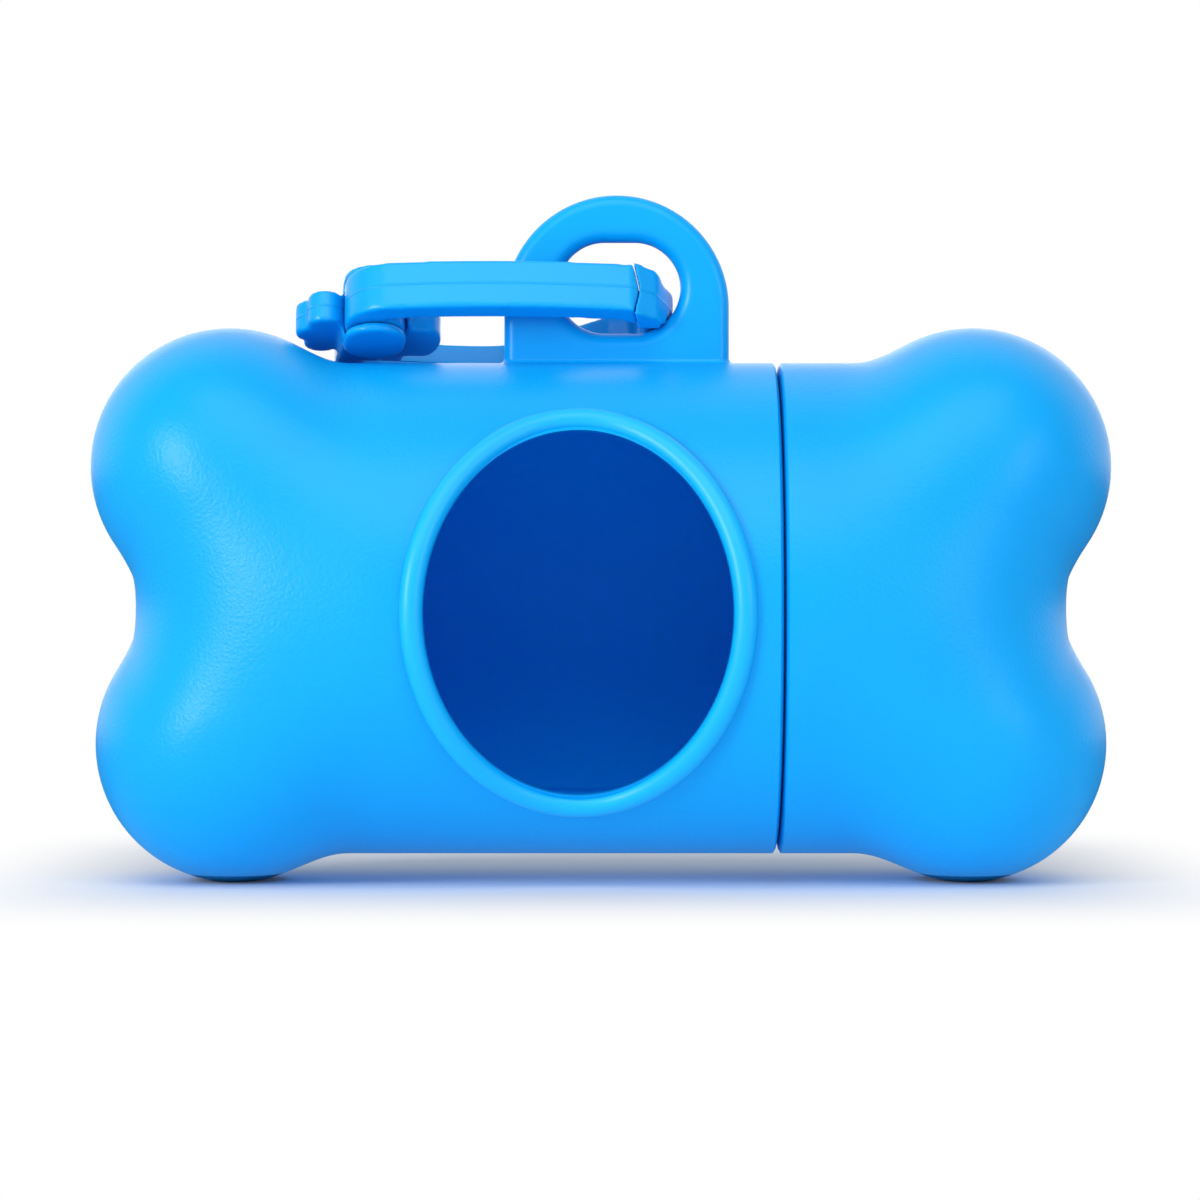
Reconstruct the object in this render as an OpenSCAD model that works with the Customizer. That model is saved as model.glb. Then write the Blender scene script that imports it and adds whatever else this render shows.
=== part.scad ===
// Bone-shaped dispenser for a roll of waste bags, with a hanging loop and a snap clip.
// X runs along the bone, Y from front to back, Z up. The origin lies on the surface that the
// bone rests on, below the middle of the tube. Millimetres.

/* [Tube] */
// Outer radius of the round tube between the lobes
tube_r = 20.4; // [19:0.1:22]
// Wall of the tube
tube_wall = 2; // [1.6:0.1:2.4]
// Place of the parting line along the bone
split_x = 14.6; // [13.8:0.1:18]
// Gap between the two halves at the parting line
split_gap = 0.1; // [0.05:0.05:0.3]
// Chamfer of both edges at the parting line
split_edge = 0.3; // [0.1:0.05:0.5]

/* [Lobes] */
// Radius of each lobe, seen from the front
lobe_r = 11.55; // [10.5:0.05:12]
// Half depth of each lobe from front to back
lobe_depth = 16.2; // [15.8:0.1:17.5]
// Squareness of the lobes from front to back: 2 is an ellipse
lobe_power = 2.3; // [2.1:0.1:2.6]
// Upper lobes' centres, from the middle of the bone
upper_x = 30.75; // [29:0.1:34]
// Upper lobes' centres, above the tube's axis
upper_z = 11.7; // [11:0.05:13]
// Lower lobes' centres, from the middle of the bone
lower_x = 30.35; // [29:0.1:34]
// Lower lobes' centres, below the tube's axis
lower_z = 11.2; // [11:0.05:13]
// Radius of the hollow between two lobes of one end
notch_r = 7.6; // [7:0.1:11]
// How much wider that hollow is on the front and on the back
notch_face = 5; // [3:0.5:7]
// How far the lobes blend into the tube, seen from the front
blend = 1.6; // [1:0.1:3]
// How much further they blend on the front and on the back
blend_face = 6; // [5:0.5:8]
// Half length of the rounded core between the lobes
core_x = 38.2; // [37.8:0.1:38.6]
// Length over which the core's front and back round off to its end
core_face = 22.4; // [18:0.1:22.4]
// Length over which its top and bottom round off
core_top = 16.4; // [12:0.1:18]
// Squareness of that rounding of the top and bottom
core_power = 8; // [4:1:10]
// Depth of the flat that each lower lobe rests on
foot_flat = 0.15; // [0.1:0.05:0.4]

/* [Inside] */
// Wall left between the hollow and the hollow ends of the bone
end_wall = 3.4; // [3:0.1:4]
// Depth of the rounding at the hollow's far end, across the bone
hollow_round = 10; // [9:0.5:12]
// Length over which the hollow rounds in, along the bone
hollow_taper = 18; // [17:0.5:18.5]
// Flat floor of the body's hollow, below the tube's axis
floor_drop = 15.4; // [14:0.1:17]
// Outer radius of the neck that carries the cap
neck_r = 18; // [17:0.1:18.2]
// Wall of the neck
neck_wall = 1.6; // [1.2:0.1:2]
// Reach of the neck past the parting line
neck_len = 5; // [4:0.5:6]
// Thickness of the web that carries the neck
web_t = 2; // [1.2:0.1:3]
// Radial clearance between neck and cap
neck_fit = 0.08; // [0.03:0.01:0.1]
// Clearance past the neck's end
neck_gap = 0.5; // [0.3:0.1:1]

/* [Window] */
// Window's centre, along the bone
window_x = -1.8; // [-4:0.1:-1]
// Window's centre, above the tube's axis
window_z = -0.35; // [-1:0.05:1]
// Half width of the opening
window_half_w = 12.35; // [9:0.05:12.5]
// Half height of the opening
window_half_h = 14.7; // [11:0.05:15]
// Width of the raised rim round the opening
rim_w = 1.75; // [1.2:0.05:1.8]
// Height of the rim above the tube
rim_h = 0.85; // [0.5:0.05:1.2]

/* [Hanging loop] */
// Loop's centre, along the bone
loop_x = 1.3; // [0:0.1:3]
// Radius of the loop's round top, which is half its width
loop_r = 9.35; // [8.5:0.1:10]
// Centre of the round top, above the tube
loop_rise = 4.6; // [4.2:0.05:5.6]
// Thickness of the loop plate
loop_t = 3; // [2.6:0.1:3.4]
// Rounding of the loop's outer edges
loop_edge = 1; // [0.5:0.05:1.2]
// Hole's centre, along the bone
hole_x = 1.55; // [1.2:0.05:1.8]
// Hole's centre, above the tube
hole_rise = 6.25; // [6.1:0.05:6.6]
// Radius of the hole's round ends
hole_r = 3.8; // [3.7:0.05:4]
// Distance between the centres of the hole's round ends
hole_span = 2.5; // [2.2:0.1:2.8]
// Rounding of the hole's edges
hole_edge = 1.2; // [0.8:0.05:1.25]

/* [Clip ring] */
// Width of the clip over both arms
clip_w = 20; // [19.6:0.1:20.4]
// Thickness of the clip's arms, seen from above
arm_t = 2.4; // [2.1:0.05:2.6]
// Height of the far arm and the end that passes through the loop
frame_h = 3.5; // [3:0.1:3.8]
// Height of the gate, the nose and the knob end
gate_h = 4.4; // [4:0.1:4.8]
// Radius of the near arm's slight bow
bow_r = 80; // [60:1:120]
// Right-hand end of the ring, from the middle of the near arm's bow
end_u = 6.8; // [6.6:0.1:7]
// Left-hand end of the ring, from the middle of the near arm's bow
root_u = 20.6; // [20.2:0.1:21.2]
// Rounding of the ring's left-hand corners
corner_r = 4.2; // [3.8:0.1:4.5]
// Length of the corner cut at the nose, along the clip
cut_u = 2; // [1.8:0.1:2.4]
// Depth of that cut, across the clip
cut_v = 3.5; // [3:0.1:3.8]
// Depth of the nose's corner behind the near arm's outer face
nose_v = 1.4; // [1.2:0.1:1.6]
// Width of the nose's face
nose_u = 1.2; // [1:0.1:1.4]
// How far the nose stands above the arms, on each side
nose_proud = 0.1; // [0.05:0.05:0.2]
// Where the far arm starts to turn in, from the middle of the near arm's bow
spine_u = -8.5; // [-9.5:0.1:-7.5]
// Radius of that turn
spine_r = 9.4; // [8.5:0.1:10.5]
// Rounding of the ring's right-hand corners
end_round = 0.6; // [0.3:0.1:0.8]

/* [Clip gate] */
// Gate's pivot, from the ring's left-hand end
pivot_u = 2.6; // [2.55:0.05:2.8]
// Gate's pivot, from the near arm's outer face
pivot_v = 7; // [6.8:0.1:7.3]
// Radius of the gate's knuckle
knuckle_r = 2.5; // [2.3:0.05:2.55]
// Radius of the two trunnions on the knuckle
trunnion_r = 1.2; // [1:0.05:1.4]
// Reach of each trunnion into its ear
trunnion_len = 0.5; // [0.3:0.05:0.6]
// Radial clearance round the trunnions
trunnion_fit = 0.05; // [0.02:0.01:0.1]
// Clearance between the gate and the frame
gate_fit = 0.15; // [0.1:0.05:0.15]
// Clearance between the knuckle and each ear
ear_fit = 0.1; // [0.05:0.05:0.15]
// Gate's tip, from the middle of the near arm's bow
tip_u = 3.3; // [2.8:0.1:3.4]
// Depth of the shallow V in which the tip closes
gate_vee = 0.4; // [0.2:0.05:0.6]

/* [Clip end] */
// Height of the round boss on each flat face
boss_h = 0.8; // [0.8:0.05:1]
// Radius of the bosses' round ends
boss_r = 2.6; // [2.4:0.1:2.7]
// Distance between the centres of a boss's round ends
boss_v = 1.2; // [1:0.1:1.4]
// Radius of each lobe of the knob
knob_r = 1.45; // [1.2:0.05:1.6]
// Height of the knob
knob_h = 2.8; // [2.6:0.1:3]
// Reach of the knob's tip past the ring
knob_u = 3.8; // [3.4:0.1:4.2]
// Reach of the centres of its two side lobes past the ring
knob_side = 1.5; // [1.3:0.1:1.7]
// Spread of the knob's two side lobes
knob_v = 4; // [3.8:0.1:4.2]
// Reach of the tongue from the ring's left-hand end into the ring
tongue_u = 8.4; // [7.5:0.1:8.8]
// Width of the tongue's tip
tongue_w = 5.6; // [5:0.1:6]
// Width of the tongue's shoulders
shoulder_w = 8; // [7:0.1:8.2]
// Reach of the tongue's shoulders
shoulder_u = 5.6; // [5:0.1:6]

/* [Clip pose] */
// Point of the end bar that lies in the hole, from the ring's right-hand end
grip_u = 2.2; // [2:0.1:2.4]
// The same point, from the near arm's outer face
grip_v = 4.2; // [4:0.1:4.4]
// Slope of the clip from its near arm down to its far arm, in degrees
clip_tilt = 20; // [19:0.5:21]
// Turn of the clip seen from above, in degrees
clip_turn = 8; // [7:0.5:9]
// Lift of the knob end, in degrees
clip_lift = 2.1; // [1.9:0.1:2.4]
// Place of the clip's end bar in the hole, to the right of the hole's round end
clip_dx = 1.2; // [1.1:0.05:1.3]
// Place of the clip's end bar in the hole, behind the middle of the plate (in front: below 0)
clip_dy = -0.2; // [-0.3:0.05:0]
// Place of the clip's end bar in the hole, below the centre of the hole's round end
clip_dz = 1.65; // [1.5:0.05:1.75]
// Clearance between the clip and the hole in which it swings
swing_fit = 0.15; // [0.1:0.05:0.2]

/* [Hidden] */
$fn = 96;
eps = 0.01;
// How far cutting shapes reach past what they cut
past = 1;
// The tube's axis above the surface: the lower lobes touch the surface with their flats
axis_z = lower_z + lobe_r - foot_flat;
// Straight stations end here, and the rounded ends start
sweep_x = 24;
blend_start = 16;
body_face = split_x - split_gap / 2;
cap_face = split_x + split_gap / 2;
bore_r = tube_r - tube_wall;
socket_r = neck_r + neck_fit;
hollow_x = min(upper_x, lower_x) + sqrt(lobe_r * lobe_r - min(upper_z, lower_z) ^ 2 / 2) - end_wall;
bone_x = max(upper_x, lower_x) + lobe_r;
ring_sides = 64;
sweep_steps = 14;
halvings = 14;
loop_z = tube_r + loop_rise;
hole_z = tube_r + hole_rise;
clip_mid = clip_w / 2;
pivot = [pivot_u - root_u, pivot_v];
gate_reach = norm([tip_u, arm_t / 2] - pivot);
bow_sag = end_u * end_u / (2 * bow_r);
// Axis of the hole's round end, in which the clip's end bar swings
swing = [hole_x + hole_span / 2, 0, hole_z];

// ---- Outer form of the bone -------------------------------------------------------------

// Gap to one pair's lobe: round from the front, squarish from the side
function lobe_gap(p, cx, cz) =
    let (round = norm([abs(p.x) - cx, p.z - cz]) / lobe_r)
    let (deep = abs(p.y) / lobe_depth)
    lobe_r * ((round ^ lobe_power + deep ^ lobe_power) ^ (1 / lobe_power) - 1);

// How far a point along the bone lies into a rounding that ends at the core's end: 0 to 1
function into(x, length) = max(abs(x) - core_x + length, 0) / length;

// Gap to the core, a tube whose front and back fall off sooner than its top and bottom
function core_gap(p) =
    let (across = p.y * p.y + p.z * p.z)
    let (share = p.y * p.y / (across + eps))
    let (fall = share * into(p.x, core_face) ^ 2 + (1 - share) * into(p.x, core_top) ^ core_power)
    tube_r * (sqrt(across / (tube_r * tube_r) + fall) - 1);

// The two lobes of an end, joined by a hollow of radius r
function lobes_gap(a, b, r) =
    max(r, min(a, b)) - norm([max(r - a, 0), max(r - b, 0)]);

// Gap to the lobes l and the core c, with a blend of width w
function blended(l, c, w) =
    let (h = max(w - abs(l - c), 0) / w)
    min(l, c) - h * h * w / 4;

function bone_gap(p) =
    let (face = (p.y / tube_r) ^ 2)
    let (a = lobe_gap(p, upper_x, upper_z))
    let (b = lobe_gap(p, lower_x, -lower_z))
    blended(lobes_gap(a, b, notch_r + notch_face * face), core_gap(p), blend + blend_face * face);

// Distance from point o inside the bone to its surface in direction d, by halving
function reach(o, d, near = 0, far = bone_x, steps = halvings) =
    steps == 0 ? (near + far) / 2
    : let (mid = (near + far) / 2)
      bone_gap(o + mid * d) > 0 ? reach(o, d, near, mid, steps - 1)
                                : reach(o, d, mid, far, steps - 1);

function across(i) = [0, cos(360 * i / ring_sides), sin(360 * i / ring_sides)];

function round_ring(x, r) = [for (i = [0 : ring_sides - 1]) [x, 0, 0] + r * across(i)];

// One ring of the swept end: alpha is 0 across the bone and 90 along it
function swept_ring(side, alpha) =
    let (o = [side * sweep_x, 0, 0])
    [for (i = [0 : ring_sides - 1])
        let (d = cos(alpha) * across(i) + [side * sin(alpha), 0, 0])
        o + reach(o, d) * d];

function station_ring(x) =
    [for (i = [0 : ring_sides - 1]) [x, 0, 0] + reach([x, 0, 0], across(i)) * across(i)];

// One end of the bone from its flat face at x = face to the pole between the lobes
module bone_end(side, face) {
    rings = concat(
        [round_ring(face, tube_r - split_edge), round_ring(face + side * split_edge, tube_r)],
        [round_ring(side * blend_start, tube_r)],
        [for (x = [blend_start + 1 : sweep_x - 1]) station_ring(side * x)],
        [for (k = [0 : sweep_steps - 1]) swept_ring(side, 90 * k / sweep_steps)]);
    n = ring_sides;
    last = len(rings) - 1;
    tip = [side * (sweep_x + reach([side * sweep_x, 0, 0], [side, 0, 0])), 0, 0];
    sides = [for (j = [0 : last - 1]) for (i = [0 : n - 1])
        let (a = j * n + i)
        let (b = j * n + (i + 1) % n)
        for (f = [[a, b, b + n], [a, b + n, a + n]]) f];
    fan = [for (i = [0 : n - 1]) [last * n + i, last * n + (i + 1) % n, (last + 1) * n]];
    flat = [[for (i = [n - 1 : -1 : 0]) i]];
    shape = concat(flat, sides, fan);
    turned = [for (f = shape) [for (k = [len(f) - 1 : -1 : 0]) f[k]]];
    polyhedron([for (r = rings) for (p = r) p, tip], side > 0 ? turned : shape);
}

module at_axis() {
    translate([0, 0, axis_z]) children();
}

// Solid of revolution about the bone's axis, from x = 0 to x = length, with a rounded far end
module hollow(r, length) {
    rotate([0, 90, 0]) rotate_extrude() {
        square([r, length - hollow_taper]);
        square([r - hollow_round, length]);
        translate([r - hollow_round, length - hollow_taper]) intersection() {
            scale([hollow_round, hollow_taper]) circle(1);
            square([hollow_round, hollow_taper]);
        }
    }
}

// Everything under the resting surface
module ground() {
    translate([-bone_x, -bone_x, -2 * axis_z]) cube([2 * bone_x, 2 * bone_x, axis_z]);
}

// ---- Hanging loop -----------------------------------------------------------------------

module rounded_bar(width, thick, r) {
    square([width - 2 * r, thick], center = true);
    square([width, thick - 2 * r], center = true);
    for (sx = [-1, 1], sy = [-1, 1])
        translate([sx * (width / 2 - r), sy * (thick / 2 - r)]) circle(r);
}

// Profile of the hole through the plate: across the plate in y, flared at both faces
module flare(width) {
    difference() {
        square([width + 2 * hole_edge, loop_t + 2 * past], center = true);
        for (sx = [-1, 1]) {
            for (sy = [-1, 1])
                translate([sx * (width / 2 + hole_edge), sy * (loop_t / 2 - hole_edge)])
                    circle(hole_edge);
            translate([sx * (width / 2 + hole_edge / 2), 0])
                square([hole_edge + eps, loop_t - 2 * hole_edge], center = true);
        }
    }
}

module loop_hole() {
    translate([hole_x, 0, hole_z]) {
        for (side = [-1, 1])
            translate([side * hole_span / 2, 0, 0])
                rotate([0, 90 * side, 0]) rotate([90, 0, 0]) rotate_extrude(angle = 180) intersection() {
                    flare(2 * hole_r);
                    translate([0, -loop_t]) square([2 * hole_r, 2 * loop_t]);
                }
        rotate([90, 0, 90]) linear_extrude(hole_span, center = true) rotate(90) flare(2 * hole_r);
    }
}

module loop_plate() {
    leg = loop_z - (tube_r - tube_wall / 2);
    difference() {
        translate([loop_x, 0, 0]) {
            translate([0, 0, loop_z]) rotate([90, 0, 0]) rotate_extrude(angle = 180)
                intersection() {
                    rounded_bar(2 * loop_r, loop_t, loop_edge);
                    translate([0, -loop_t]) square([2 * loop_r, 2 * loop_t]);
                }
            translate([0, 0, loop_z - leg]) linear_extrude(leg)
                rounded_bar(2 * loop_r, loop_t, loop_edge);
        }
        loop_hole();
    }
}

// ---- Window -----------------------------------------------------------------------------

// An upright oval bar through the front wall, grown outwards by extra
module window_bar(extra) {
    translate([window_x, 0, window_z]) rotate([90, 0, 0])
        scale([window_half_w + extra, window_half_h + extra, 1]) cylinder(r = 1, h = 2 * tube_r);
}

module window_rim() {
    rotate([0, 90, 0]) difference() {
        cylinder(r = tube_r + rim_h, h = 2 * sweep_x, center = true);
        cylinder(r = bore_r + tube_wall / 2, h = 2 * sweep_x + past, center = true);
    }
}

module body_shell() {
    color("deepskyblue") at_axis() difference() {
        union() {
            bone_end(-1, body_face);
            intersection() {
                window_rim();
                window_bar(rim_w);
            }
            loop_plate();
            rotate([0, 90, 0]) cylinder(r = neck_r, h = split_x + neck_len);
        }
        translate([body_face - web_t, 0, 0]) rotate([0, 0, 180]) intersection() {
            hollow(bore_r, body_face - web_t + hollow_x);
            translate([-past, -tube_r, -floor_drop]) cube([2 * bone_x, 2 * tube_r, 3 * tube_r]);
        }
        translate([body_face - web_t - eps, 0, 0]) rotate([0, 90, 0])
            cylinder(r = neck_r - neck_wall, h = web_t + neck_len + past);
        window_bar(0);
        ground();
    }
}

module end_cap() {
    color("dodgerblue") at_axis() difference() {
        bone_end(1, cap_face);
        translate([cap_face - past, 0, 0]) {
            hollow(socket_r, hollow_x - cap_face + past);
            rotate([0, 90, 0]) cylinder(r = socket_r, h = neck_len + neck_gap + past);
        }
        ground();
    }
}

// ---- Snap clip, drawn flat: u along the clip, v from the near arm to the far arm ----------

function arc(c, r, from, to, steps) =
    [for (k = [0 : steps]) c + r * [cos(from + (to - from) * k / steps), sin(from + (to - from) * k / steps)]];

// The clip's outline: bowed near arm, cut corner at the nose, far arm that turns in to meet it
module outline() {
    corner = [corner_r - root_u, bow_r - sqrt((bow_r - corner_r) ^ 2 - (corner_r - root_u) ^ 2)];
    touch = atan2(corner.y - bow_r, corner.x);
    nose = end_u - cut_u;
    bow_end = asin((nose - 2 * nose_u) / bow_r) - 90;
    turn = [spine_u, clip_w - spine_r];
    offset(end_round) offset(-end_round) polygon(concat(
        arc(corner, corner_r, -180, touch, 8),
        arc([0, bow_r], bow_r, touch, bow_end, 12),
        [[nose - nose_u, nose_v / 2], [nose, nose_v], [end_u, nose_v + cut_v]],
        [[end_u, turn.x + turn.y + sqrt(2) * spine_r - end_u]],
        arc(turn, spine_r, 45, 90, 8),
        arc([corner_r - root_u, clip_w - corner_r], corner_r, 90, 180, 8)));
}

module inside() {
    offset(-arm_t) outline();
}

module slab(h) {
    linear_extrude(h, center = true) children();
}

module at_pivot() {
    translate([pivot.x, pivot.y, 0]) children();
}

// Everything within the tip's distance from the pivot, as a shallow double cone
module tip_sweep(extra) {
    r = gate_reach + extra;
    slope = 2 * gate_vee;
    at_pivot() rotate_extrude()
        polygon([[0, -gate_h], [r - slope, -gate_h], [r, 0], [r - slope, gate_h], [0, gate_h]]);
}

module clip_pose() {
    translate([0, 0, axis_z]) translate(swing + [clip_dx, clip_dy, -clip_dz])
        rotate([0, clip_lift, clip_turn]) rotate([-clip_tilt, 0, 0])
        translate([grip_u - end_u, -grip_v, 0]) children();
}

// The near arm's side of the clip, from the pivot at its left to past the tip at its right
module near_side(extra) {
    translate([-root_u - past, -past]) square([root_u + past, pivot_v + past + extra]);
    translate([-past, -past]) square([end_u - cut_u + past, arm_t + past + bow_sag]);
}

// Ear that carries one of the gate's trunnions, reaching back onto the solid end
module boss() {
    at_pivot() {
        for (v = [0, boss_v]) translate([0, v, 0]) cylinder(r = boss_r, h = boss_h, center = true);
        translate([0, boss_v / 2, 0]) cube([2 * boss_r, boss_v, boss_h], center = true);
    }
}

module knob() {
    translate([knob_r - root_u - knob_u, clip_mid]) circle(knob_r);
    for (s = [-1, 1]) translate([-root_u - knob_side, clip_mid + s * knob_v / 2]) circle(knob_r);
    translate([-root_u - knob_side, clip_mid - knob_v / 2]) square([knob_side + arm_t / 2, knob_v]);
}

module tongue() {
    tip = tongue_w / 4;
    start = arm_t / 2;
    translate([start - root_u, clip_mid - shoulder_w / 2]) square([shoulder_u - start, shoulder_w]);
    translate([start - root_u, clip_mid - tongue_w / 2]) square([tongue_u - start - tip, tongue_w]);
    translate([tongue_u - root_u - tip, clip_mid]) scale([0.5, 1]) circle(tongue_w / 2);
}

// Room for the gate in the frame: its knuckle, its trunnions and the path of its tip
module gate_room() {
    at_pivot() {
        cylinder(r = knuckle_r + gate_fit, h = gate_h, center = true);
        cylinder(r = trunnion_r + trunnion_fit, h = gate_h + 2 * (trunnion_len + gate_fit), center = true);
    }
    intersection() {
        tip_sweep(gate_fit);
        translate([-root_u / 2, -past, -gate_h]) cube([root_u, clip_mid + past, 2 * gate_h]);
    }
}

// Room for the clip to swing in the loop: the plate's profile, turned about the hole's round end
module swing_room() {
    r = hole_r - swing_fit;
    half = loop_t / 2 + swing_fit;
    translate([swing.x, 0, axis_z + swing.z]) rotate([90, 0, 0]) rotate_extrude() {
        translate([r + hole_edge + swing_fit, -half]) square([loop_r / 2, 2 * half]);
        translate([r, hole_edge + swing_fit - half])
            square([loop_r / 2, 2 * (half - hole_edge - swing_fit)]);
        for (s = [-1, 1])
            translate([r + hole_edge + swing_fit, s * (half - hole_edge - swing_fit)])
                circle(hole_edge + swing_fit);
    }
}

module clip_frame() {
    color("royalblue") difference() {
        clip_pose() difference() {
            union() {
                slab(frame_h) difference() {
                    outline();
                    inside();
                    near_side(gate_fit);
                }
                // Nose, which the gate's tip closes on
                slab(gate_h + 2 * nose_proud) intersection() {
                    outline();
                    translate([0, -past]) square([end_u - cut_u + nose_u / 2, arm_t + 2 * past]);
                }
                slab(frame_h) intersection() {
                    difference() {
                        outline();
                        inside();
                    }
                    translate([nose_u, -past]) square([end_u, clip_mid]);
                }
                slab(gate_h) intersection() {
                    outline();
                    translate([-root_u - past, pivot_v + gate_fit])
                        square([pivot_u + 2 * past, clip_w - 2 * pivot_v]);
                }
                slab(knob_h) knob();
                slab(frame_h) tongue();
                for (s = [-1, 1]) translate([0, 0, s * (gate_h + boss_h) / 2]) boss();
            }
            gate_room();
        }
        swing_room();
    }
}

module clip_gate() {
    h = gate_h - 2 * ear_fit;
    color("cornflowerblue") clip_pose() intersection() {
        union() {
            slab(h) intersection() {
                difference() {
                    outline();
                    inside();
                }
                near_side(0);
            }
            at_pivot() {
                cylinder(r = knuckle_r, h = h, center = true);
                cylinder(r = trunnion_r, h = gate_h + 2 * trunnion_len, center = true);
            }
        }
        tip_sweep(0);
    }
}

body_shell();
end_cap();
clip_frame();
clip_gate();
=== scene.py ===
import math

import bmesh
import bpy
import numpy as np
from mathutils import Matrix, Vector


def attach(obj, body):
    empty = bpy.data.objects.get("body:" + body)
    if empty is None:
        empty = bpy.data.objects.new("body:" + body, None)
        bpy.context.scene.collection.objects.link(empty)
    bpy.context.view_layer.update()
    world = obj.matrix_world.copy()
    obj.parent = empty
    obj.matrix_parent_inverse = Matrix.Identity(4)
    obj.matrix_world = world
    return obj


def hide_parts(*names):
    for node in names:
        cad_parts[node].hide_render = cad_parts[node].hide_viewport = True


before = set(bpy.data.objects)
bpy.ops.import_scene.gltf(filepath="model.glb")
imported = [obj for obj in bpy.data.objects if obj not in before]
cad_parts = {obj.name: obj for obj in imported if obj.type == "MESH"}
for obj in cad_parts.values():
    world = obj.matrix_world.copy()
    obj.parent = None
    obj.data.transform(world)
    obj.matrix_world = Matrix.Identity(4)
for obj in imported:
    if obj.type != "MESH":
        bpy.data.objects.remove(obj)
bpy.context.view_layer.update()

# ---- Camera ---------------------------------------------------------------------------------
# A long lens, level and square to the window, 400 mm in front of the tube's axis: the
# photograph's own angle.
axis_z = 0.0226
camera_x, camera_back, camera_up = -0.00008, 0.4, 0.00068
camera_data = bpy.data.cameras.new("camera")
camera_data.lens = 144
camera_data.sensor_width = 36
camera_data.clip_start = 0.01
camera = bpy.data.objects.new("camera", camera_data)
camera.location = (camera_x, -camera_back, axis_z + camera_up)
camera.rotation_euler = (math.radians(90), 0, 0)
bpy.context.collection.objects.link(camera)
bpy.context.scene.camera = camera

# ---- Studio ---------------------------------------------------------------------------------
# A white backdrop in a dim room: only the backdrop behind the object shows as a reflection. Away
# from the object the floor shows white; near it the floor is grey-blue paper, darker and bluer
# than white paper, a painted shadow under and around the object. Softboxes high in front, behind
# and at each side, and a pale blue card that lifts the underside.
bpy.context.scene.view_settings.view_transform = "Standard"
surround = bpy.data.worlds.new("surround")
bpy.context.scene.world = surround
surround.use_nodes = True
sky = surround.node_tree.nodes
sky_links = surround.node_tree.links
sky["Background"].inputs["Color"].default_value = (1, 1, 1, 1)
seen = sky.new("ShaderNodeLightPath")
sky_way = sky.new("ShaderNodeSeparateXYZ")
sky_links.new(sky.new("ShaderNodeTexCoord").outputs["Generated"], sky_way.inputs[0])


def smooth_ramp(nodes, start, end, first, last):
    """A node that goes smoothly from the value first at start to the value last at end."""
    made = nodes.new("ShaderNodeMapRange")
    made.interpolation_type = "SMOOTHSTEP"
    made.inputs["From Min"].default_value, made.inputs["From Max"].default_value = start, end
    made.inputs["To Min"].default_value, made.inputs["To Max"].default_value = first, last
    return made


backdrop = smooth_ramp(sky, -0.1, 0.6, 0.08, 1)
sky_links.new(sky_way.outputs["Y"], backdrop.inputs["Value"])
strength = sky.new("ShaderNodeMix")
strength.inputs["A"].default_value = 0.6
sky_links.new(seen.outputs["Is Glossy Ray"], strength.inputs["Factor"])
sky_links.new(backdrop.outputs[0], strength.inputs["B"])
white_seen = sky.new("ShaderNodeMix")
white_seen.inputs["B"].default_value = 1
sky_links.new(seen.outputs["Is Camera Ray"], white_seen.inputs["Factor"])
sky_links.new(strength.outputs["Result"], white_seen.inputs["A"])
sky_links.new(white_seen.outputs["Result"], sky["Background"].inputs["Strength"])

softboxes = {
    # name: (place, size across, size up, power, colour, point it faces)
    "softbox_top": ((0.0, -0.4, 0.52), 0.6, 0.5, 1.8, (1, 1, 1), (0, 0, 0.02)),
    "softbox_left": ((-0.52, -0.46, 0.18), 0.2, 0.26, 2.6, (1, 1, 1), (0, 0, 0.03)),
    "softbox_right": ((0.54, -0.5, 0.18), 0.2, 0.26, 0.7, (1, 1, 1), (0, 0, 0.03)),
    "softbox_back": ((0.0, 0.6, 0.16), 0.5, 0.24, 0.5, (1, 1, 1), (0, 0, 0.03)),
    "card_below": ((0.0, -0.07, 0.0006), 0.3, 0.16, 0.05, (0.4, 0.8, 1), (0, -0.07, 1.0)),
}
for name, (place, across, up, power, colour, target) in softboxes.items():
    light = bpy.data.lights.new(name, "AREA")
    light.shape = "RECTANGLE"
    light.size, light.size_y, light.energy, light.color = across, up, power, colour
    box = bpy.data.objects.new(name, light)
    box.location = place
    box.rotation_euler = (Vector(target) - Vector(place)).to_track_quat("-Z", "Y").to_euler()
    box.visible_camera = False
    bpy.context.collection.objects.link(box)

floor_mesh = bpy.data.meshes.new("floor")
reach = 6.0
floor_corners = [(-reach, -reach, 0), (reach, -reach, 0), (reach, reach, 0), (-reach, reach, 0)]
floor_mesh.from_pydata(floor_corners, [], [(0, 1, 2, 3)])
floor = bpy.data.objects.new("floor", floor_mesh)
bpy.context.collection.objects.link(floor)
paper = bpy.data.materials.new("paper_with_painted_shadow")
paper.use_nodes = True
tree = paper.node_tree
link = tree.links.new
# The paper's grey-blue is painted shadow: darker and bluer than white paper, it shows only near
# the object, where the mask keeps it.
tree.nodes["Principled BSDF"].inputs["Base Color"].default_value = (0.66, 0.7, 0.76, 1)
tree.nodes["Principled BSDF"].inputs["Roughness"].default_value = 0.9
tree.nodes["Principled BSDF"].inputs["Specular IOR Level"].default_value = 0.1
place = tree.nodes.new("ShaderNodeTexCoord")
way = tree.nodes.new("ShaderNodeSeparateXYZ")
link(place.outputs["Object"], way.inputs[0])
sideways = tree.nodes.new("ShaderNodeMath")
sideways.operation = "ABSOLUTE"
link(way.outputs["X"], sideways.inputs[0])
fade = tree.nodes.new("ShaderNodeMath")
fade.operation = "SUBTRACT"
fade.inputs[0].default_value = 1
kept = fade.inputs[1]
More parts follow.
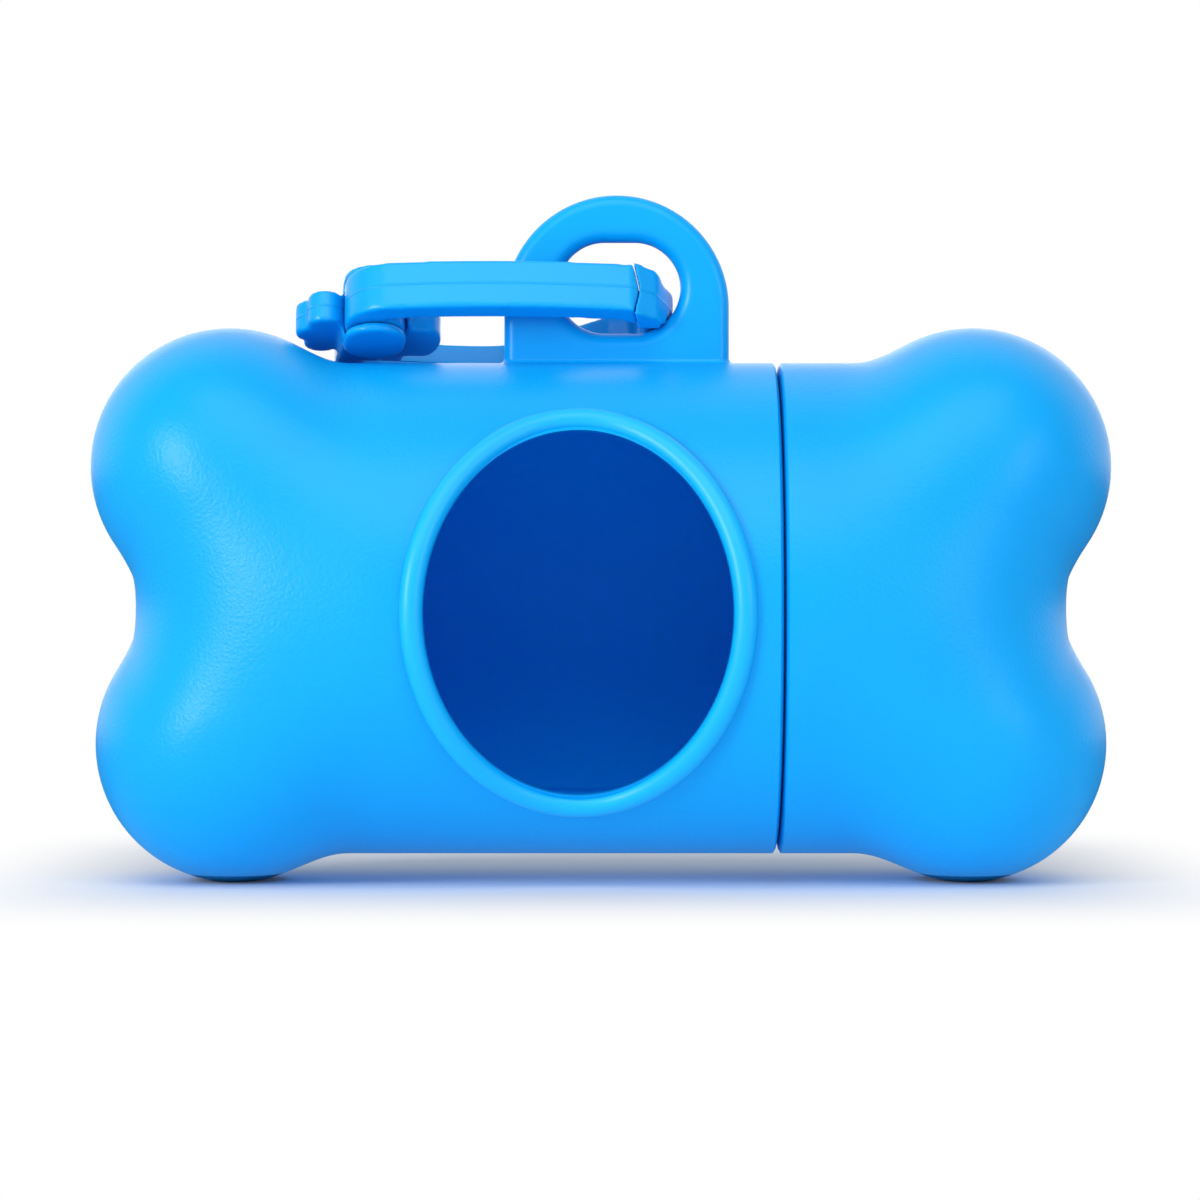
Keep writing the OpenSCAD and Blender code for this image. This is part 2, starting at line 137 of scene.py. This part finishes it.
for measure, start, end in (
    (sideways.outputs[0], 0.032, 0.058),
    (way.outputs["Y"], -0.01, -0.062),
    (way.outputs["Y"], 0.04, 0.09),
):
    ramp = smooth_ramp(tree.nodes, start, end, 1, 0)
    link(measure, ramp.inputs["Value"])
    both = tree.nodes.new("ShaderNodeMath")
    both.operation = "MULTIPLY"
    both.inputs[1].default_value = 1
    link(ramp.outputs["Result"], both.inputs[0])
    link(both.outputs[0], kept)
    kept = both.inputs[1]
seen = tree.nodes.new("ShaderNodeLightPath")
share = tree.nodes.new("ShaderNodeMath")
share.operation = "MULTIPLY"
link(fade.outputs[0], share.inputs[0])
link(seen.outputs["Is Camera Ray"], share.inputs[1])
white = tree.nodes.new("ShaderNodeEmission")
floor_mix = tree.nodes.new("ShaderNodeMixShader")
link(share.outputs[0], floor_mix.inputs["Fac"])
link(tree.nodes["Principled BSDF"].outputs[0], floor_mix.inputs[1])
link(white.outputs[0], floor_mix.inputs[2])
# For glossy rays the floor is dark grey: painted shade, so the plastic reflects no bright floor.
dim = tree.nodes.new("ShaderNodeBsdfDiffuse")
dim.inputs["Color"].default_value = (0.08, 0.08, 0.08, 1)
floor_seen = tree.nodes.new("ShaderNodeMixShader")
link(seen.outputs["Is Glossy Ray"], floor_seen.inputs["Fac"])
link(floor_mix.outputs[0], floor_seen.inputs[1])
link(dim.outputs[0], floor_seen.inputs[2])
link(floor_seen.outputs[0], tree.nodes["Material Output"].inputs["Surface"])
floor_mesh.materials.append(paper)

# ---- Body shell -----------------------------------------------------------------------------
# The left-hand half of the bone: lobes, tube and the neck that carries the cap, one injection
# moulding in sky-blue plastic about 2 mm thick. Its skin has a fine leathery spark grain.
# Sizes here are in millimetres about the tube's axis.
MM = 0.001
tube_r, bore_r = 20.4, 18.4
split_x, split_gap, split_edge, split_deep = 14.6, 0.1, 0.3, 1.0
split_lip, split_lip_deep = 0.12, 0.3
lobe_r, lobe_depth, lobe_power = 11.55, 16.2, 2.3
upper_x, upper_z, lower_x, lower_z = 30.75, 11.7, 30.35, 11.2
notch_r, notch_face, blend, blend_face = 7.6, 5.0, 1.6, 6.0
core_x, core_face, core_top, core_power, core_mid = 38.2, 22.4, 16.4, 8, 2.0
floor_drop, neck_r, neck_wall, neck_len, web_t, neck_fit = 15.4, 18.0, 1.6, 5.0, 2.0, 0.08
end_wall, hollow_round, hollow_taper, neck_gap, neck_edge = 3.4, 10.0, 18.0, 0.5, 0.3
hollow_steps, socket_step = 24, 0.02
window_x, window_z, window_half_w, window_half_h = -1.8, -0.35, 12.35, 14.7
opening_sides, tool_front, tool_back = 160, -25.0, -10.0
tube_end, ring_gap, sweep_x, sweep_stop, sweep_rings = 16.0, 0.5, 24.0, 89.5, 61
ring_sides, halvings = 192, 26
hollow_x = lower_x + math.sqrt(lobe_r**2 - lower_z**2 / 2) - end_wall


def lobe_gap(p, cx, cz):
    """Gap to the pair of lobes about (cx, cz), one at each end."""
    across = np.hypot(np.abs(p[..., 0]) - cx, p[..., 2] - cz) / lobe_r
    deep = np.abs(p[..., 1]) / lobe_depth
    return lobe_r * ((across**lobe_power + deep**lobe_power) ** (1 / lobe_power) - 1)


def core_gap(p):
    """Gap to the core: its front and back fall off sooner than its top and bottom.

    Within core_mid of the axis it falls off alike all round, so each end is smooth in its middle.
    """
    across = p[..., 1] ** 2 + p[..., 2] ** 2
    share = p[..., 1] ** 2 / (across + core_mid**2)
    past = np.abs(p[..., 0]) - core_x
    face = np.maximum(past + core_face, 0) / core_face
    top = np.maximum(past + core_top, 0) / core_top
    fall = share * face**2 + (1 - share) * top**core_power
    return tube_r * (np.sqrt(across / tube_r**2 + fall) - 1)


def bone_gap(p):
    """Gap to the outer form of the bone, about the tube's axis, in millimetres."""
    face = (p[..., 1] / tube_r) ** 2
    a = lobe_gap(p, upper_x, upper_z)
    b = lobe_gap(p, lower_x, -lower_z)
    notch = notch_r + notch_face * face
    lobes = np.maximum(notch, np.minimum(a, b)) - np.hypot(
        np.maximum(notch - a, 0), np.maximum(notch - b, 0)
    )
    core = core_gap(p)
    width = blend + blend_face * face
    h = np.maximum(width - np.abs(lobes - core), 0) / width
    return np.minimum(lobes, core) - h * h * width / 4


turns = 2 * math.pi * np.arange(ring_sides) / ring_sides
spokes = np.stack([0 * turns, np.cos(turns), np.sin(turns)], 1)


def bone_ring(origin, directions):
    """Where rays from origin leave the bone, found by halving."""
    near, far = np.zeros(len(directions)), np.full(len(directions), upper_x + lobe_r)
    for _ in range(halvings):
        middle = (near + far) / 2
        outside = bone_gap(origin + middle[:, None] * directions) > 0
        near, far = np.where(outside, near, middle), np.where(outside, middle, far)
    return origin + near[:, None] * directions


def round_ring(x, r):
    return np.array([x, 0, 0]) + r * spokes


def bone_rings(side, face):
    """Rings from the parting face to just short of the end's pole."""
    rings = [
        round_ring(face, tube_r - split_deep),
        round_ring(face + side * split_lip, tube_r - split_lip_deep),
        round_ring(face + side * split_edge, tube_r),
        round_ring(side * tube_end, tube_r),
    ]
    for x in np.arange(tube_end + ring_gap, sweep_x, ring_gap):
        rings.append(bone_ring(np.array([side * x, 0, 0]), spokes))
    middle = np.array([side * sweep_x, 0, 0])
    for alpha in np.radians(np.linspace(0, sweep_stop, sweep_rings)):
        heading = math.cos(alpha) * spokes + np.array([side * math.sin(alpha), 0, 0])
        rings.append(bone_ring(middle, heading))
    pole = bone_ring(middle, np.array([[side, 0, 0]], float))[0]
    return rings, pole


def hollow_rings(side, start, r, length, floor_z=None, socket=0.0):
    """Rings of a bore from x = start: straight for the socket, then rounding in to its far end."""
    profile = [(0, r)]
    if socket:
        profile += [(socket, r), (socket, r - socket_step)]
    for t in np.radians(np.linspace(0, 90, hollow_steps)):
        along = length - hollow_taper * (1 - math.sin(t))
        if along > socket:
            profile.append((along, r - hollow_round + hollow_round * math.cos(t)))
    profile += [(length, (r - hollow_round) * k) for k in (0.6, 0.3)]
    rings = []
    for along, rr in profile:
        ring = round_ring(start + side * along, rr)
        if floor_z is not None:
            ring[:, 2] = np.maximum(ring[:, 2], floor_z)
        rings.append(ring)
    return rings, np.array([start + side * length, 0, 0])


def new_piece(name, points, faces):
    """A piece from points in millimetres about the tube's axis, none of them below the floor."""
    points = (points + np.array([0, 0, axis_z / MM])) * MM
    points[:, 2] = np.maximum(points[:, 2], 0)
    mesh = bpy.data.meshes.new(name)
    mesh.from_pydata([tuple(p) for p in points], [], faces)
    piece = bpy.data.objects.new(name, mesh)
    bpy.context.collection.objects.link(piece)
    return piece


def skin(name, rings, first_pole, last_pole):
    """A closed mesh through rings of points, with a pole at each end."""
    n = len(rings[0])
    points = np.concatenate(rings + [first_pole[None], last_pole[None]])
    faces = []
    for j in range(len(rings) - 1):
        for i in range(n):
            a, b = j * n + i, j * n + (i + 1) % n
            faces.append((a, b, b + n, a + n))
    first, last = len(points) - 2, len(points) - 1
    end = (len(rings) - 1) * n
    for i in range(n):
        faces.append((first, (i + 1) % n, i))
        faces.append((last, end + i, end + (i + 1) % n))
    return new_piece(name, points, faces)


def finish_mesh(piece, crease=35):
    """Doubles merged, faces outwards, smooth shading with sharp edges past the crease angle."""
    work = bmesh.new()
    work.from_mesh(piece.data)
    bmesh.ops.remove_doubles(work, verts=work.verts, dist=1e-7)
    bmesh.ops.dissolve_degenerate(work, edges=work.edges, dist=1e-8)
    bmesh.ops.recalc_face_normals(work, faces=work.faces)
    for face in work.faces:
        face.smooth = True
    limit = math.radians(crease)
    for edge in work.edges:
        edge.smooth = len(edge.link_faces) == 2 and edge.calc_face_angle(0) < limit
    work.to_mesh(piece.data)
    work.free()


def bake(piece):
    """The modifiers' result becomes the piece's plain mesh."""
    evaluated = piece.evaluated_get(bpy.context.evaluated_depsgraph_get())
    mesh = bpy.data.meshes.new_from_object(evaluated)
    piece.modifiers.clear()
    piece.data = mesh
    mesh.name = piece.name


body_face = split_x - split_gap / 2
web_x = body_face - web_t
outer, left_pole = bone_rings(-1, body_face)
neck_end, neck_bore = split_x + neck_len, neck_r - neck_wall
neck = [
    round_ring(neck_end, neck_r - neck_edge),
    round_ring(neck_end - neck_edge, neck_r),
    round_ring(body_face, neck_r),
]
neck_inside = [round_ring(web_x, neck_bore), round_ring(neck_end, neck_bore)]
bore, bore_pole = hollow_rings(-1, web_x, bore_r, web_x + hollow_x, -floor_drop)
body_rings = bore[::-1] + neck_inside + neck + outer
body_shell = skin("body_shell", body_rings, bore_pole, left_pole)

t = 2 * math.pi * np.arange(opening_sides) / opening_sides
oval_x, oval_z = window_x + window_half_w * np.cos(t), window_z + window_half_h * np.sin(t)
opening = [np.stack([oval_x, 0 * t + y, oval_z], 1) for y in (tool_front, tool_back)]
middles = [np.array([window_x, y, window_z]) for y in (tool_front, tool_back)]
window_tool = skin("window_tool", opening, *middles)
finish_mesh(body_shell)
finish_mesh(window_tool)
cut = body_shell.modifiers.new("window", "BOOLEAN")
cut.operation, cut.solver, cut.object = "DIFFERENCE", "EXACT", window_tool
bake(body_shell)
bpy.data.objects.remove(window_tool)
finish_mesh(body_shell, crease=25)

shell_plastic = bpy.data.materials.new("shell_plastic")
shell_plastic.use_nodes = True
tree = shell_plastic.node_tree
shader = tree.nodes["Principled BSDF"]
shader.inputs["Specular IOR Level"].default_value = 0.22
place = tree.nodes.new("ShaderNodeTexCoord")


def node(kind, tree, **values):
    """A node of this kind in the tree, with its inputs set by name."""
    made = tree.nodes.new(kind)
    for key, value in values.items():
        made.inputs[key].default_value = value
    return made


cloud = node("ShaderNodeTexNoise", tree, Scale=40.0, Detail=2.0)
tint = tree.nodes.new("ShaderNodeValToRGB")
tint.color_ramp.elements[0].color = (0.0004, 0.335, 0.8, 1)
tint.color_ramp.elements[1].color = (0.0008, 0.36, 0.83, 1)
tint.color_ramp.elements[0].position, tint.color_ramp.elements[1].position = 0.3, 0.7
grain = node("ShaderNodeTexNoise", tree, Scale=3600.0, Detail=1.5, Roughness=0.5)
bump = node("ShaderNodeBump", tree, Strength=0.7, Distance=0.00005)
gloss = tree.nodes.new("ShaderNodeMapRange")
gloss.inputs["To Min"].default_value, gloss.inputs["To Max"].default_value = 0.32, 0.38
link = tree.links.new
link(place.outputs["Object"], cloud.inputs["Vector"])
link(cloud.outputs["Fac"], tint.inputs["Fac"])
link(tint.outputs["Color"], shader.inputs["Base Color"])
link(place.outputs["Object"], grain.inputs["Vector"])
link(grain.outputs["Fac"], bump.inputs["Height"])
link(bump.outputs["Normal"], shader.inputs["Normal"])
link(cloud.outputs["Fac"], gloss.inputs["Value"])
link(gloss.outputs["Result"], shader.inputs["Roughness"])


def plastic_like(base, name, colours=None, roughness=None, grain_depth=None, specular=None):
    """A copy of a plastic with the values that are given in place of its own."""
    made = base.copy()
    made.name = name
    for item in made.node_tree.nodes:
        if item.type == "VALTORGB" and colours:
            for stop, colour in zip(item.color_ramp.elements, colours):
                stop.color = colour
        if item.type == "MAP_RANGE" and roughness:
            item.inputs["To Min"].default_value, item.inputs["To Max"].default_value = roughness
        if item.type == "BUMP" and grain_depth:
            item.inputs["Strength"].default_value = grain_depth
        if item.type == "BSDF_PRINCIPLED" and specular:
            item.inputs["Specular IOR Level"].default_value = specular
    return made


# The bore's blues are brighter and deeper than the shell's: painted light, which lifts the inside
# that the lamps leave dark.
bore_painted_light_blues = (0.0003, 0.36, 1, 1), (0.0005, 0.39, 1, 1)
bore_painted_light_plastic = plastic_like(
    shell_plastic, "bore_painted_light_plastic", bore_painted_light_blues, (0.5, 0.6), specular=0.1
)

# The hollow takes its own plastic, a brighter, deeper blue copy of the shell's: painted light
# inside the bore. Its faces are those within the bore that look inwards or along the tube.
hollow_depth, bore_slack, end_facing = 1.0, 0.01, 0.7
body_shell.data.materials.clear()
body_shell.data.materials.append(shell_plastic)
body_shell.data.materials.append(bore_painted_light_plastic)
for face in body_shell.data.polygons:
    spot, way_out = np.array(face.center) / MM - (0, 0, axis_z / MM), face.normal
    inside = math.hypot(spot[1], spot[2]) < bore_r + bore_slack and bone_gap(spot) < -hollow_depth
    facing = way_out.y * spot[1] + way_out.z * spot[2] < 0 or abs(way_out.x) > end_facing
    face.material_index = int(inside and facing)
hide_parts("body_shell")
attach(body_shell, "body")

# ---- End cap --------------------------------------------------------------------------------
# The right-hand half of the bone, pushed over the neck. The same plastic, mould and grain as
# the body. Both mouths are chamfered and run into a groove 1 mm deep, the dark parting line.
cap_face = split_x + split_gap / 2
cap_outer, right_pole = bone_rings(1, cap_face)
socket_depth = neck_end + neck_gap - cap_face
socket, socket_pole = hollow_rings(
    1, cap_face, neck_r + neck_fit, hollow_x - cap_face, socket=socket_depth
)
end_cap = skin("end_cap", socket[::-1] + cap_outer, socket_pole, right_pole)
finish_mesh(end_cap)
end_cap.data.materials.append(shell_plastic)
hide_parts("end_cap")
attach(end_cap, "cap")

# ---- Window rim -----------------------------------------------------------------------------
# A half-round bead moulded round the oval window, so that bags don't snag on the edge. It
# follows the curve of the tube and is as smooth as the inside of the opening.
rim_w, rim_h = 1.85, 0.85
tree = bpy.data.node_groups.new("rim_bead", "GeometryNodeTree")
tree.interface.new_socket("Geometry", in_out="OUTPUT", socket_type="NodeSocketGeometry")
rim_sizes = {
    "Centre X": window_x * MM,
    "Centre Z": window_z * MM,
    "Half Width": (window_half_w + rim_w / 2) * MM,
    "Half Height": (window_half_h + rim_w / 2) * MM,
    "Tube Radius": tube_r * MM,
    "Bead Width": rim_w * MM,
    "Bead Height": rim_h * MM,
    "Lift": axis_z,
}
for label in rim_sizes:
    tree.interface.new_socket(label, in_out="INPUT", socket_type="NodeSocketFloat")
tree.interface.new_socket("Material", in_out="INPUT", socket_type="NodeSocketMaterial")
sizes = tree.nodes.new("NodeGroupInput")
result = tree.nodes.new("NodeGroupOutput")
link = tree.links.new


def sum_of(a, b, operation="ADD"):
    """The output of one maths node on two inputs, each a socket or a number."""
    maths = tree.nodes.new("ShaderNodeMath")
    maths.operation = operation
    for slot_number, value in enumerate((a, b)):
        if isinstance(value, (int, float)):
            maths.inputs[slot_number].default_value = value
        else:
            link(value, maths.inputs[slot_number])
    return maths.outputs[0]


ring = tree.nodes.new("GeometryNodeCurvePrimitiveCircle")
ring.inputs["Resolution"].default_value = 288
ring.inputs["Radius"].default_value = 1
flat = tree.nodes.new("ShaderNodeSeparateXYZ")
link(tree.nodes.new("GeometryNodeInputPosition").outputs[0], flat.inputs[0])
wide = sum_of(flat.outputs["X"], sizes.outputs["Half Width"], "MULTIPLY")
high = sum_of(flat.outputs["Y"], sizes.outputs["Half Height"], "MULTIPLY")
along = sum_of(wide, sizes.outputs["Centre X"])
above = sum_of(high, sizes.outputs["Centre Z"])
square = sum_of(sizes.outputs["Tube Radius"], 2.0, "POWER")
depth = sum_of(sum_of(square, sum_of(above, above, "MULTIPLY"), "SUBTRACT"), 0.5, "POWER")
on_tube = tree.nodes.new("ShaderNodeCombineXYZ")
link(along, on_tube.inputs["X"])
link(sum_of(depth, -1.0, "MULTIPLY"), on_tube.inputs["Y"])
link(above, on_tube.inputs["Z"])
laid = tree.nodes.new("GeometryNodeSetPosition")
link(ring.outputs["Curve"], laid.inputs["Geometry"])
link(on_tube.outputs[0], laid.inputs["Position"])
radial = tree.nodes.new("ShaderNodeVectorMath")
radial.operation = "MULTIPLY"
radial.inputs[1].default_value = (0, 1, 1)
link(tree.nodes.new("GeometryNodeInputPosition").outputs[0], radial.inputs[0])
outward = tree.nodes.new("ShaderNodeVectorMath")
outward.operation = "NORMALIZE"
link(radial.outputs[0], outward.inputs[0])
normals = tree.nodes.new("GeometryNodeSetCurveNormal")
normals.mode = "FREE"
link(laid.outputs[0], normals.inputs["Curve"])
link(outward.outputs[0], normals.inputs["Normal"])
section = tree.nodes.new("GeometryNodeCurvePrimitiveCircle")
section.inputs["Resolution"].default_value = 28
section.inputs["Radius"].default_value = 1
section_size = tree.nodes.new("ShaderNodeCombineXYZ")
link(sizes.outputs["Bead Height"], section_size.inputs["X"])
link(sum_of(sizes.outputs["Bead Width"], 0.5, "MULTIPLY"), section_size.inputs["Y"])
section_size.inputs["Z"].default_value = 1
sized = tree.nodes.new("GeometryNodeTransform")
link(section.outputs["Curve"], sized.inputs["Geometry"])
link(section_size.outputs[0], sized.inputs["Scale"])
bead = tree.nodes.new("GeometryNodeCurveToMesh")
link(normals.outputs[0], bead.inputs["Curve"])
link(sized.outputs[0], bead.inputs["Profile Curve"])
lifted = tree.nodes.new("GeometryNodeTransform")
rise = tree.nodes.new("ShaderNodeCombineXYZ")
link(sizes.outputs["Lift"], rise.inputs["Z"])
link(rise.outputs[0], lifted.inputs["Translation"])
link(bead.outputs[0], lifted.inputs["Geometry"])
coloured = tree.nodes.new("GeometryNodeSetMaterial")
link(lifted.outputs[0], coloured.inputs["Geometry"])
link(sizes.outputs["Material"], coloured.inputs["Material"])
link(coloured.outputs[0], result.inputs[0])

smooth_plastic = plastic_like(
    shell_plastic, "smooth_plastic", roughness=(0.26, 0.34), grain_depth=0.08
)
# The bead's blues are a little lighter than the shell's: painted sheen on the same plastic.
rim_sheen_blues = (0.0006, 0.4, 0.86, 1), (0.0008, 0.43, 0.88, 1)
rim_sheen_plastic = plastic_like(smooth_plastic, "rim_sheen_plastic", rim_sheen_blues, (0.36, 0.42), specular=0.35)

window_rim = bpy.data.objects.new("window_rim", bpy.data.meshes.new("window_rim"))
bpy.context.collection.objects.link(window_rim)
grown = window_rim.modifiers.new("bead", "NODES")
grown.node_group = tree
for item in tree.interface.items_tree:
    if item.in_out == "INPUT":
        grown[item.identifier] = rim_sheen_plastic if item.name == "Material" else rim_sizes[item.name]
bake(window_rim)
finish_mesh(window_rim, crease=180)
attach(window_rim, "body")

# ---- Hanging loop ---------------------------------------------------------------------------
# A 3 mm plate that stands on the tube as part of the same moulding, with a round top and a
# flared slot for the clip. Its edges are rounded, and a small fillet runs round its foot.
loop_x, loop_r, loop_z, loop_t, loop_edge = 1.3, 9.35, 25.0, 3.0, 1.0
hole_x, hole_z, hole_r, hole_span, hole_edge = 1.55, 26.65, 3.8, 2.5, 1.2
loop_foot, foot_fillet, foot_sunk = 19.2, 0.4, 0.3
loop_sides, corner_steps, straight_steps = 240, 13, 40


def plate_outline(inset):
    """The plate's outline seen from the front, on rays from the hole's centre."""
    points = []
    for t in 2 * math.pi * (np.arange(loop_sides) + 0.5) / loop_sides:
        c, s = math.cos(t), math.sin(t)
        r = loop_r - inset
        reaches = []
        if abs(c) > 1e-6:
            side = (loop_x + math.copysign(r, c) - hole_x) / c
            if hole_z + side * s <= loop_z:
                reaches.append(side)
        dx, dz = hole_x - loop_x, hole_z - loop_z
        b = dx * c + dz * s
        crown = -b + math.sqrt(b * b - (dx * dx + dz * dz - r * r))
        if hole_z + crown * s > loop_z:
            reaches.append(crown)
        if s < 0:
            reaches.append((loop_foot - hole_z) / s)
        out = min(reaches)
        points.append((hole_x + out * c, hole_z + out * s))
    return points


def hole_outline(outset):
    """The slot's outline on the same rays."""
    points = []
    for t in 2 * math.pi * (np.arange(loop_sides) + 0.5) / loop_sides:
        c, s = math.cos(t), math.sin(t)
        r, half = hole_r + outset, hole_span / 2
        out = r / max(abs(s), 1e-9)
        if abs(c) * out > half:
            out = half * abs(c) + math.sqrt(r * r - (half * s) ** 2)
        points.append((hole_x + out * c, hole_z + out * s))
    return points


half = loop_t / 2
quarter = np.radians(np.linspace(0, 90, 9))


def rounded(outline, edge, side, turn):
    """Loops over the rounding of an outline, on the plate's front (side -1) or back (side 1)."""
    made = []
    for t in turn:
        y = side * (half - edge + edge * math.sin(t))
        made.append(np.array([(x, y, z) for x, z in outline(edge * (1 - math.cos(t)))]))
    return made


loops = rounded(plate_outline, loop_edge, -1, quarter)
loops += rounded(hole_outline, hole_edge, -1, quarter[::-1])
loops += rounded(hole_outline, hole_edge, 1, quarter)
loops += rounded(plate_outline, loop_edge, 1, quarter[::-1])


def torus(name, loops):
    """A closed mesh through loops of points, the last joined to the first."""
    n, rows = len(loops[0]), len(loops)
    faces = []
    for j in range(rows):
        this, following = j * n, (j + 1) % rows * n
        for i in range(n):
            k = (i + 1) % n
            faces.append((this + i, this + k, following + k, following + i))
    return new_piece(name, np.concatenate(loops), faces)


hanging_loop = torus("hanging_loop", loops)

# The foot's outline seen from above: four corners, and the long straights along front and back.
foot = []
corner = loop_edge
for cx, cy, start in ((1, 1, 0), (-1, 1, 90), (-1, -1, 180), (1, -1, 270)):
    x, y = loop_x + cx * (loop_r - corner), cy * (half - corner)
    for t in np.radians(np.linspace(start, start + 90, corner_steps)):
        foot.append(((x, y), (math.cos(t), math.sin(t))))
    if cx == cy:
        next_x, way_out = loop_x - cx * (loop_r - corner), foot[-1][1]
        for k in np.linspace(0, 1, straight_steps)[1:-1]:
            foot.append(((x + k * (next_x - x), y), way_out))
profile = [(foot_fillet * (1 - math.sin(t)), foot_fillet * (1 - math.cos(t))) for t in quarter]
profile = [(-foot_sunk, foot_fillet)] + profile[::-1]
profile += [(foot_fillet, -foot_sunk), (-foot_sunk, -foot_sunk)]
fillet_loops = []
for out, up in profile:
    rows = []
    for (x, y), (nx, ny) in foot:
        px, py = x + (corner + out) * nx, y + (corner + out) * ny
        rows.append((px, py, math.sqrt(tube_r**2 - py**2) + up))
    fillet_loops.append(np.array(rows))
loop_fillet = torus("loop_fillet", fillet_loops)
for piece in (hanging_loop, loop_fillet):
    finish_mesh(piece, crease=50)
    piece.data.materials.append(smooth_plastic)
    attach(piece, "body")

# ---- Clip frame -----------------------------------------------------------------------------
# The stiff part of the small snap clip, moulded in one piece: nose, end bar through the loop,
# far arm, tongue, ears and three-lobed knob. Every edge is softened, and a fine mould seam
# runs round its middle.
clip_voxel, clip_rounds, clip_soften = 0.00014, 40, 0.5
joint_x, joint_y, joint_half, joint_fade = 2.95, -2.0, 0.35, 0.5
joint_kept, joint_swell = 0.93, 0.00004


def moulded(name, node_name):
    """A copy of the solid with its edges softened, all but those where the gate meets the nose.

    Those keep their shape and swell by joint_swell, so that the joint shows closed.
    """
    piece = bpy.data.objects.new(name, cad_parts[node_name].data.copy())
    bpy.context.collection.objects.link(piece)
    finish_mesh(piece)
    fine = piece.modifiers.new("fine", "REMESH")
    fine.mode, fine.voxel_size, fine.use_smooth_shade = "VOXEL", clip_voxel, True
    bake(piece)
    group = piece.vertex_groups.new(name="soft")
    at_joint = []
    for vertex in piece.data.vertices:
        away = max(0.0, abs(vertex.co.x / MM - joint_x) - joint_half)
        near = max(0.0, 1 - away / joint_fade) if vertex.co.y / MM < joint_y else 0.0
        group.add([vertex.index], 1 - joint_kept * near, "REPLACE")
        at_joint.append(near)
    soft = piece.modifiers.new("soft", "SMOOTH")
    soft.factor, soft.iterations, soft.vertex_group = clip_soften, clip_rounds, "soft"
    bake(piece)
    finish_mesh(piece, crease=180)
    vertices = piece.data.vertices
    swells = [vertex.normal * joint_swell * near for vertex, near in zip(vertices, at_joint)]
    for vertex, swell in zip(vertices, swells):
        vertex.co += swell
    return piece


clip_frame = moulded("clip_frame", "clip_frame")
clip_turn, clip_lift, clip_tilt = 8, 2.1, 20
clip_dx, clip_dy, clip_dz = 1.2, -0.2, 1.65
turned = (
    Matrix.Rotation(math.radians(clip_turn), 3, "Z")
    @ Matrix.Rotation(math.radians(clip_lift), 3, "Y")
    @ Matrix.Rotation(math.radians(-clip_tilt), 3, "X")
)
clip_place = Vector((hole_x + hole_span / 2 + clip_dx, clip_dy, hole_z - clip_dz)) * MM
clip_place.z += axis_z

clip_plastic = plastic_like(smooth_plastic, "clip_plastic", specular=0.3)
tree = clip_plastic.node_tree
link = tree.links.new
place = next(item for item in tree.nodes if item.type == "TEX_COORD")
bump = next(item for item in tree.nodes if item.type == "BUMP")
shader = tree.nodes["Principled BSDF"]
flat_on = tree.nodes.new("ShaderNodeMapping")
flat_on.vector_type = "TEXTURE"
flat_on.inputs["Location"].default_value = clip_place
flat_on.inputs["Rotation"].default_value = turned.to_euler()
link(place.outputs["Object"], flat_on.inputs["Vector"])
split = tree.nodes.new("ShaderNodeSeparateXYZ")
link(flat_on.outputs[0], split.inputs[0])
from_seam = tree.nodes.new("ShaderNodeMath")
from_seam.operation = "ABSOLUTE"
link(split.outputs["Z"], from_seam.inputs[0])
seam = smooth_ramp(tree.nodes, 0.00002, 0.00013, 1, 0)
link(from_seam.outputs[0], seam.inputs["Value"])
seam_bump = node("ShaderNodeBump", tree, Strength=0.8, Distance=0.00006)
link(seam.outputs["Result"], seam_bump.inputs["Height"])
link(bump.outputs["Normal"], seam_bump.inputs["Normal"])
link(seam_bump.outputs["Normal"], shader.inputs["Normal"])
clip_frame.data.materials.clear()
clip_frame.data.materials.append(clip_plastic)
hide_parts("clip_frame")
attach(clip_frame, "clip")

# ---- Clip gate ------------------------------------------------------------------------------
# The clip's springy near arm, which closes against the nose in a shallow V. The same glossy
# plastic and seam as the frame.
clip_gate = moulded("clip_gate", "clip_gate")
clip_gate.data.materials.clear()
clip_gate.data.materials.append(clip_plastic)
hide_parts("clip_gate")
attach(clip_gate, "gate")
